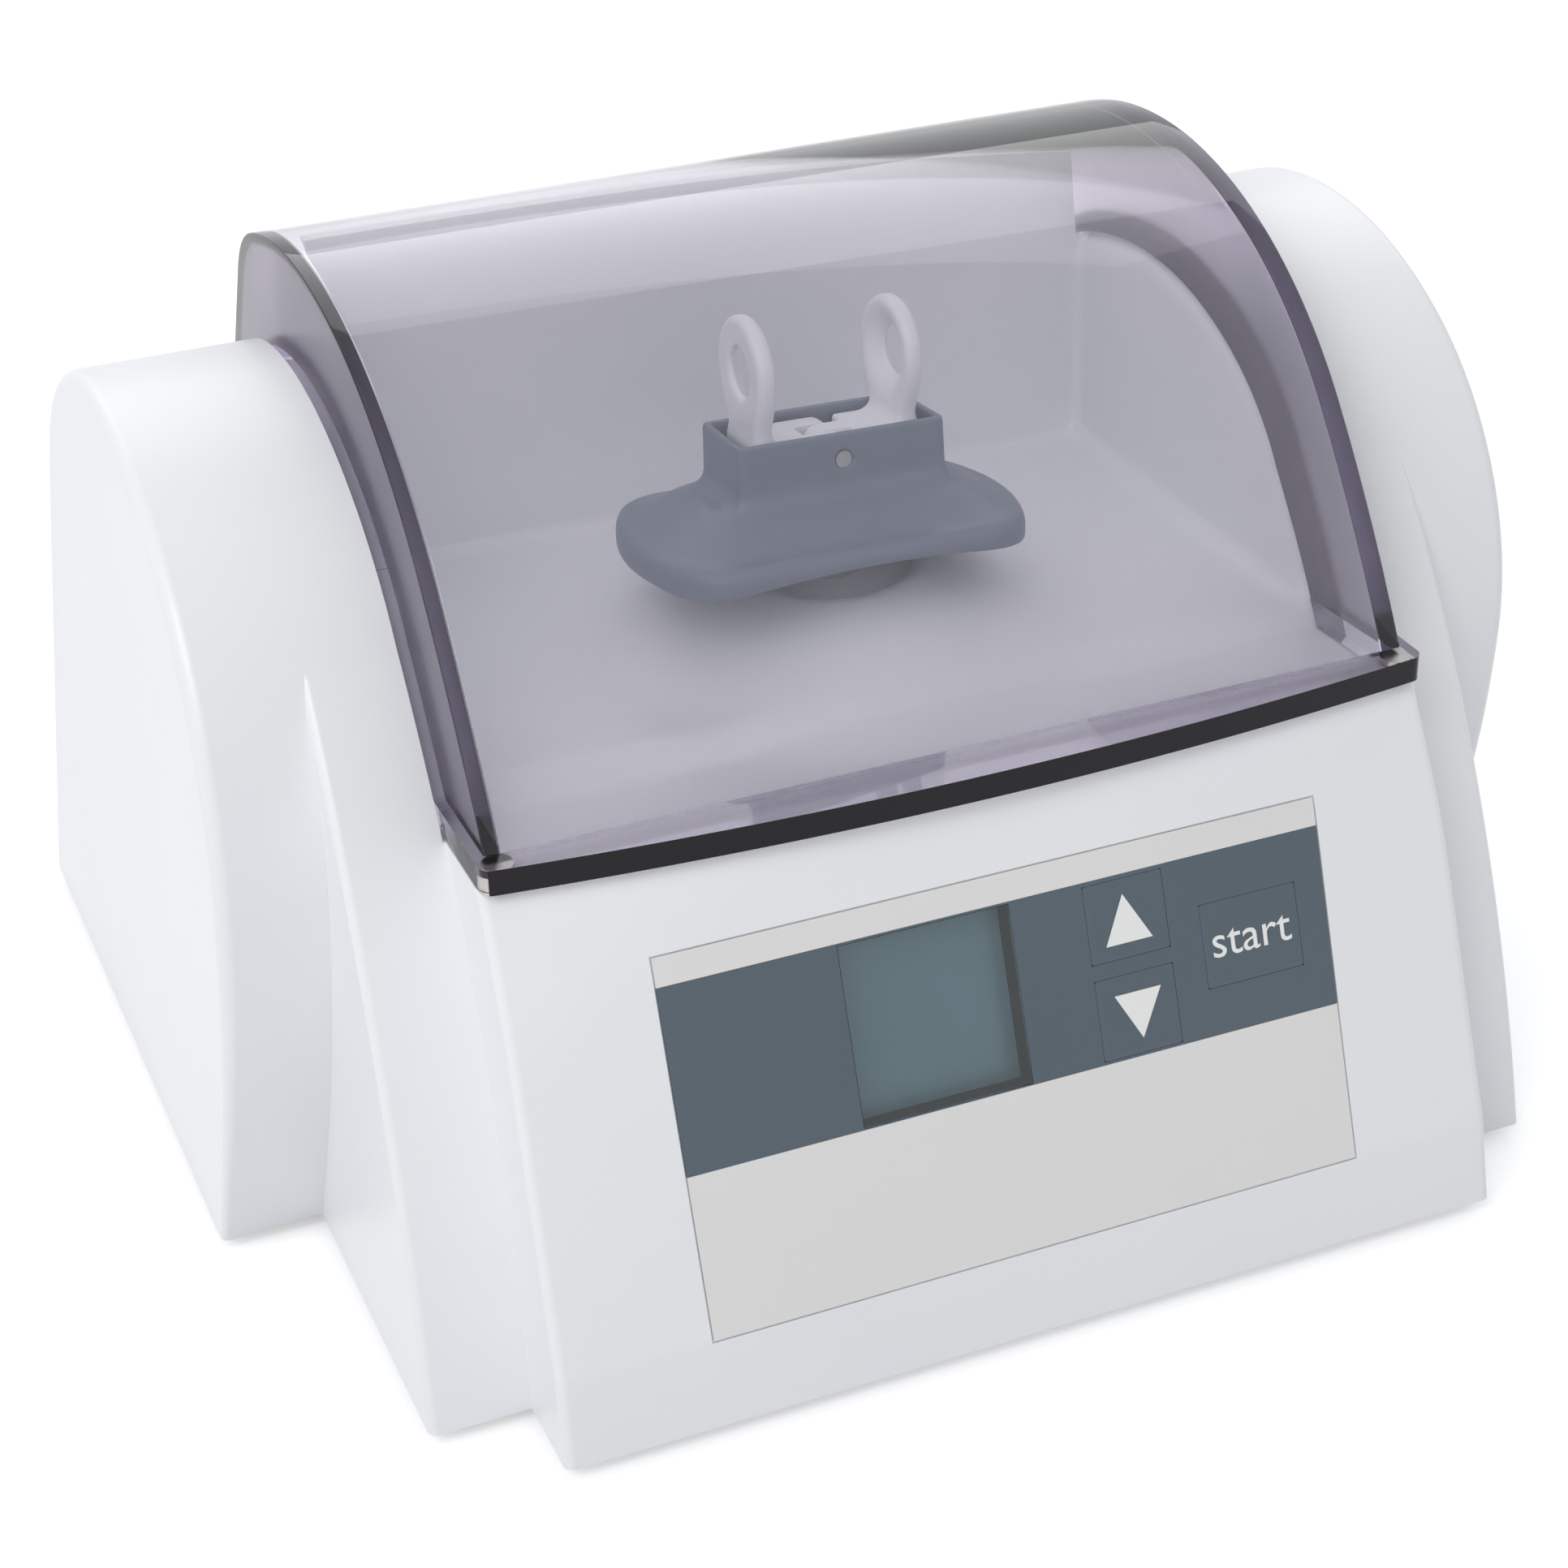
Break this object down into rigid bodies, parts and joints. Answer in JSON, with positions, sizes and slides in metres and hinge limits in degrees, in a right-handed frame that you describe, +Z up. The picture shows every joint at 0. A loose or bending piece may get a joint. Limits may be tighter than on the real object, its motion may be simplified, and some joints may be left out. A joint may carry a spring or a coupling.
{
  "type": "dental amalgamator",
  "caption": "Desktop capsule mixer: arched white housing, hinged tinted lid over a swinging capsule fork, sloping panel with display and keys.",
  "frame": {"origin": "on the table under the middle of the bounding box", "axes": "+Z up, +X to the right as the user sees it, -Y to the front with the control panel"},
  "size_m": [0.2812, 0.2564, 0.189],
  "materials": {
    "housing_abs": "glossy injection-moulded",
    "base_steel": "powder coated",
    "black_rubber": "matt",
    "bright_steel": "ground",
    "panel_foil": "fine-textured foil",
    "blue_band": "printed foil",
    "display_window": "clear",
    "display_grey": "smooth",
    "circuit_board": "solder resist",
    "black_plastic": "moulded",
    "tinted_lid": "clear moulded, smoke tint",
    "magnet_nickel": "plated",
    "cast_aluminium": "as cast",
    "motor_steel": "painted",
    "lamination_steel": "stacked sheet",
    "copper_wire": "enamelled copper",
    "cast_iron": "turned",
    "acetal": "machined",
    "holder_plastic": "moulded",
    "arm_plastic": "translucent moulded",
    "capacitor_can": "drawn",
    "wire_sleeve": "PVC"
  },
  "bodies": {
    "housing": {"housing": "housing_abs", "base_pan": "base_steel", "foot_fl": "black_rubber", "foot_fr": "black_rubber", "foot_rl": "black_rubber", "foot_rr": "black_rubber", "base_screws": "bright_steel", "panel_foil": "panel_foil", "control_band": "blue_band", "display_lens": "display_window", "display_gasket": "black_rubber", "display_module": "display_grey", "control_board": "circuit_board", "key_switches": "black_plastic", "reed_switch": "black_plastic", "hinge_pin_l": "bright_steel", "hinge_pin_r": "bright_steel", "drive_frame": "cast_aluminium", "motor_case": "motor_steel", "motor_stator": "lamination_steel", "motor_windings": "copper_wire", "bearing_l_outer": "bright_steel", "bearing_r_outer": "bright_steel", "guide_block": "acetal", "mount_bushes": "black_rubber", "transformer_core": "lamination_steel", "transformer_coil": "copper_wire", "run_capacitor": "capacitor_can", "capacitor_clip": "bright_steel", "supply_board": "circuit_board", "supply_parts": "black_plastic", "mains_inlet": "black_plastic", "inlet_pins": "magnet_nickel", "switch_frame": "black_plastic", "mains_wires": "wire_sleeve"},
    "lid": {"lid": "tinted_lid", "lid_magnets": "magnet_nickel"},
    "rotor": {"motor_rotor": "lamination_steel", "drive_shaft": "bright_steel", "wobble_hub": "bright_steel", "balance_wheel": "cast_iron", "bearing_l_inner": "bright_steel", "bearing_r_inner": "bright_steel"},
    "holder": {"holder_ring": "cast_aluminium", "holder_stem": "bright_steel", "guide_pin": "bright_steel", "dome_shutter": "housing_abs", "holder_body": "holder_plastic", "pivot_pin": "bright_steel"},
    "arm_left": {"arm_left": "arm_plastic"},
    "arm_right": {"arm_right": "arm_plastic"},
    "key_up": {"key_up": "blue_band"},
    "key_down": {"key_down": "blue_band"},
    "key_start": {"key_start": "blue_band"},
    "fuse_drawer": {"fuse_drawer": "black_plastic"},
    "switch_rocker": {"switch_rocker": "black_plastic"}
  },
  "joints": [
    {"name": "lid_hinge", "type": "hinge", "parent": "housing", "child": "lid", "pos_m": [0, 0.0708, 0.142], "axis": [-1, 0, 0], "range_deg": [0, 88]},
    {"name": "motor_spin", "type": "hinge", "parent": "housing", "child": "rotor", "pos_m": [0, -0.02, 0.039], "axis": [1, 0, 0], "continuous": true},
    {"name": "holder_swing", "type": "hinge", "parent": "housing", "child": "holder", "pos_m": [0, -0.02, 0.039], "axis": [0, 1, 0], "range_deg": [-5, 5]},
    {"name": "arm_left_open", "type": "hinge", "parent": "holder", "child": "arm_left", "pos_m": [-0.00019, -0.02052, 0.14603], "axis": [0.0349, -0.9948, 0.0958], "range_deg": [0, 10], "stiffness_Nm_per_rad": 0.3},
    {"name": "arm_right_open", "type": "hinge", "parent": "holder", "child": "arm_right", "pos_m": [-0.00019, -0.02052, 0.14603], "axis": [-0.0349, 0.9948, -0.0958], "range_deg": [0, 10], "stiffness_Nm_per_rad": 0.3},
    {"name": "key_up_press", "type": "slide", "parent": "housing", "child": "key_up", "axis": [0, 0.9432, -0.3322], "range_m": [0, 0.0004], "stiffness_N_per_m": 300},
    {"name": "key_down_press", "type": "slide", "parent": "housing", "child": "key_down", "axis": [0, 0.9432, -0.3322], "range_m": [0, 0.0004], "stiffness_N_per_m": 300},
    {"name": "key_start_press", "type": "slide", "parent": "housing", "child": "key_start", "axis": [0, 0.9432, -0.3322], "range_m": [0, 0.0004], "stiffness_N_per_m": 300},
    {"name": "fuse_drawer_slide", "type": "slide", "parent": "housing", "child": "fuse_drawer", "axis": [0, 0.9184, 0.3955], "range_m": [0, 0.018]},
    {"name": "rocker_tilt", "type": "hinge", "parent": "housing", "child": "switch_rocker", "pos_m": [0.02, 0.11086, 0.03821], "axis": [1, 0, 0], "range_deg": [0, 16]}
  ]
}
